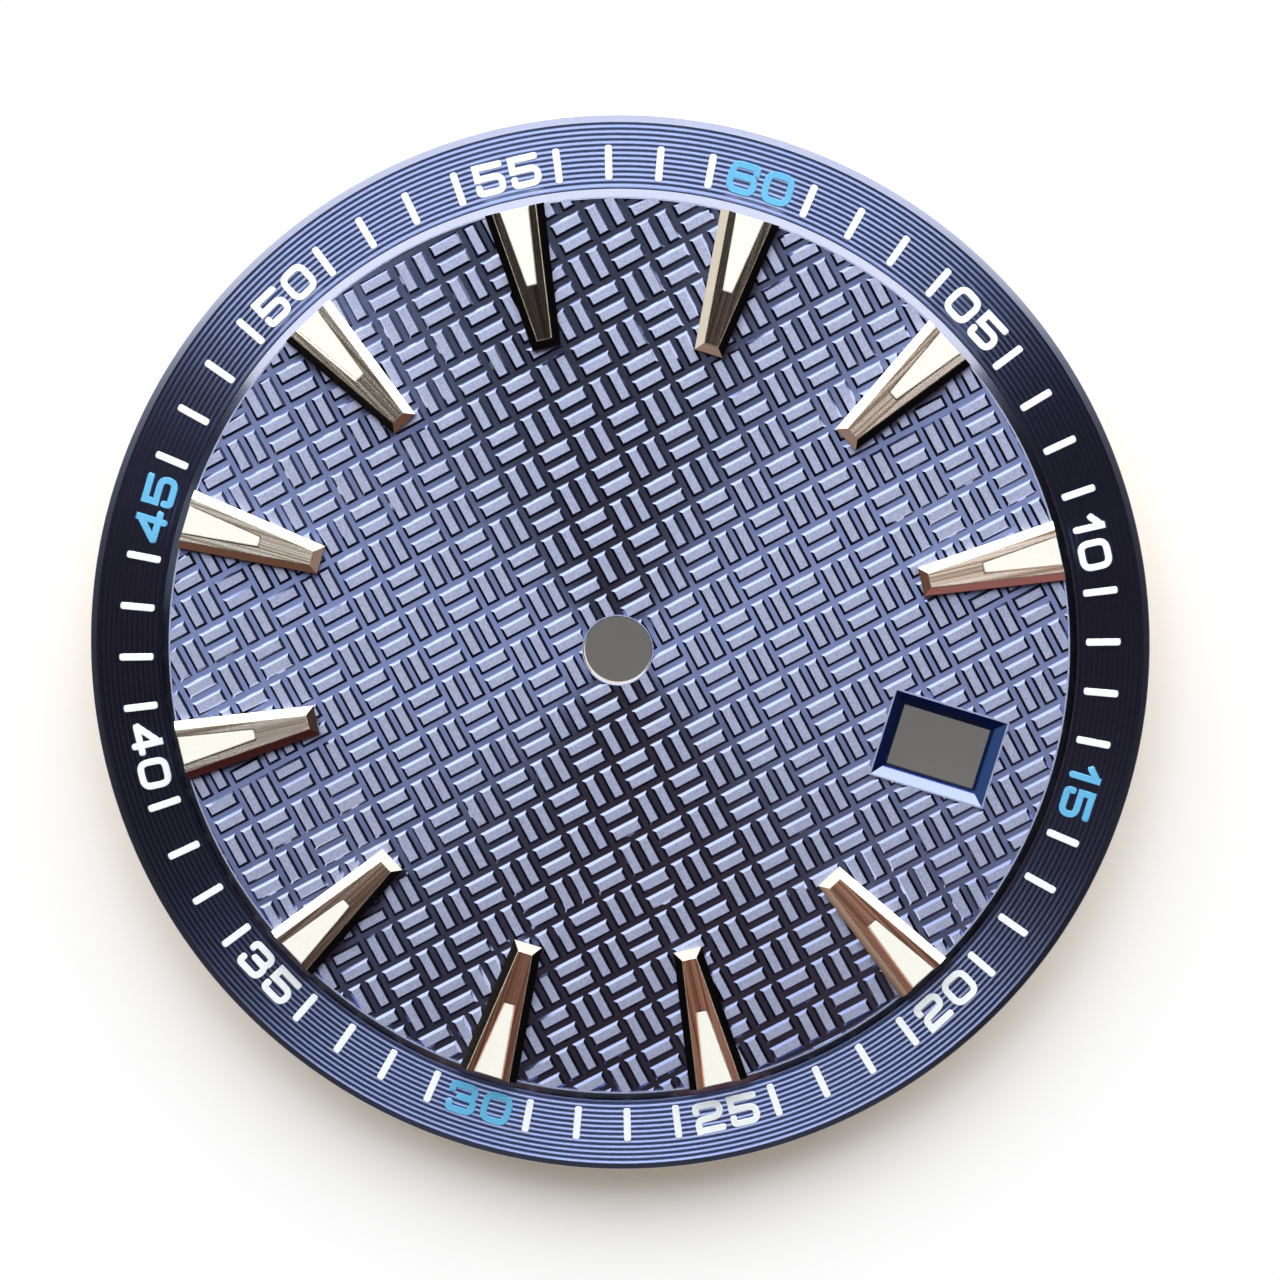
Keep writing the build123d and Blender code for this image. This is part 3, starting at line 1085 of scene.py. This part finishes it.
ink_height, ink_edge = print_high - print_low, 0.012
half_top, edge_height = half_stroke - ink_edge, ink_height - ink_edge
profile = bpy.data.curves.new("ink_section", "CURVE")
profile.dimensions = "2D"
outline = [(-half_stroke, 0), (half_stroke, 0), (half_stroke, edge_height), (half_top, ink_height),
           (-half_top, ink_height), (-half_stroke, edge_height)]
add_points(profile, [(corner, 1) for corner in outline], True)
ink_section = bpy.data.objects.new("ink_section", profile)
bpy.context.collection.objects.link(ink_section)
print("ink stands", round(print_high - ring_top, 3), "mm above the ring")

# %% Numbers: each stands upright in the photograph's lower half too, so those are turned round
narrow_figure, wide_figure, figure_gap = 0.66, 0.93, 0.15
stroke_step = 0.0006  # crossing strokes lie a hair apart in height, so that their tops don't coincide
for minute in range(5, 61, 5):
    text = f"{minute:02d}"
    widths = [narrow_figure if figure == "1" else wide_figure for figure in text]
    start = -(sum(widths) + figure_gap) / 2
    parts = []
    for figure, width in zip(text, widths):
        middle = start + width / 2
        start += width + figure_gap
        for index, (corners, start_style, end_style) in enumerate(digit_strokes[figure]):
            part = draw_stroke(f"figure_{minute}", corners, start_style, end_style)
            part.location = (middle, 0, -stroke_step * index)
            parts.append(part)
    pick_up(*parts)
    bpy.ops.object.transform_apply(location=True, rotation=True, scale=True)
    bpy.ops.object.join()
    number = parts[0]
    number.name = f"minute_number_{minute:02d}"
    upside_down = 20 <= minute <= 40
    number.rotation_euler = (0, 0, -math.radians(6 * minute) + (math.pi if upside_down else 0))
    radial = math.radians(90 - 6 * minute)
    number.location = (print_radius * math.cos(radial), print_radius * math.sin(radial), print_low)
    bpy.ops.object.mode_set(mode="EDIT")
    bpy.ops.mesh.select_all(action="SELECT")
    bpy.ops.mesh.normals_make_consistent(inside=False)
    bpy.ops.object.mode_set(mode="OBJECT")
    finish_piece(number, [sky_ink if minute % 15 == 0 else white_ink], "lume", smooth=40)
bpy.data.objects.remove(ink_section)
print("numbers printed: 12")

# %% [markdown]
# ## Dial feet
# Two copper pins are welded into shallow recesses in the back. A welded foot has a small collar of upset
# metal at its root and a chamfered free end.

# %% Dial feet
copper, tree = new_material("drawn_copper")
metal(tree, linear("#D98E6A"), 0.32, relief(tree, grain(tree, 0.05, 3, stretch=(1, 1, 0.1)), 0.4, 0.006))
foot_axis, foot_length, foot_radius, collar_radius = 0.0001, 2.0, 0.35, 0.395
# The section starts a hair off the axis, and welding closes the tiny hole that spinning leaves there.
foot_section = [
    (foot_axis, -foot_length), (0.23, -foot_length), (0.32, 0.03 - foot_length),
    (foot_radius, 0.12 - foot_length), (foot_radius, -0.09), (0.37, -0.03), (collar_radius, 0.0),
    (collar_radius, recess_depth), (foot_axis, recess_depth),
]
for number, (x, y) in enumerate(foot_places, start=1):
    foot = turn(f"welded_foot_{number}", foot_section, steps=48)
    weld(foot)
    foot.location = (x, y, 0)
    finish_piece(foot, [copper], "foot_copper", f"dial_foot_{number}", smooth=30)
print("feet:", len(foot_places))
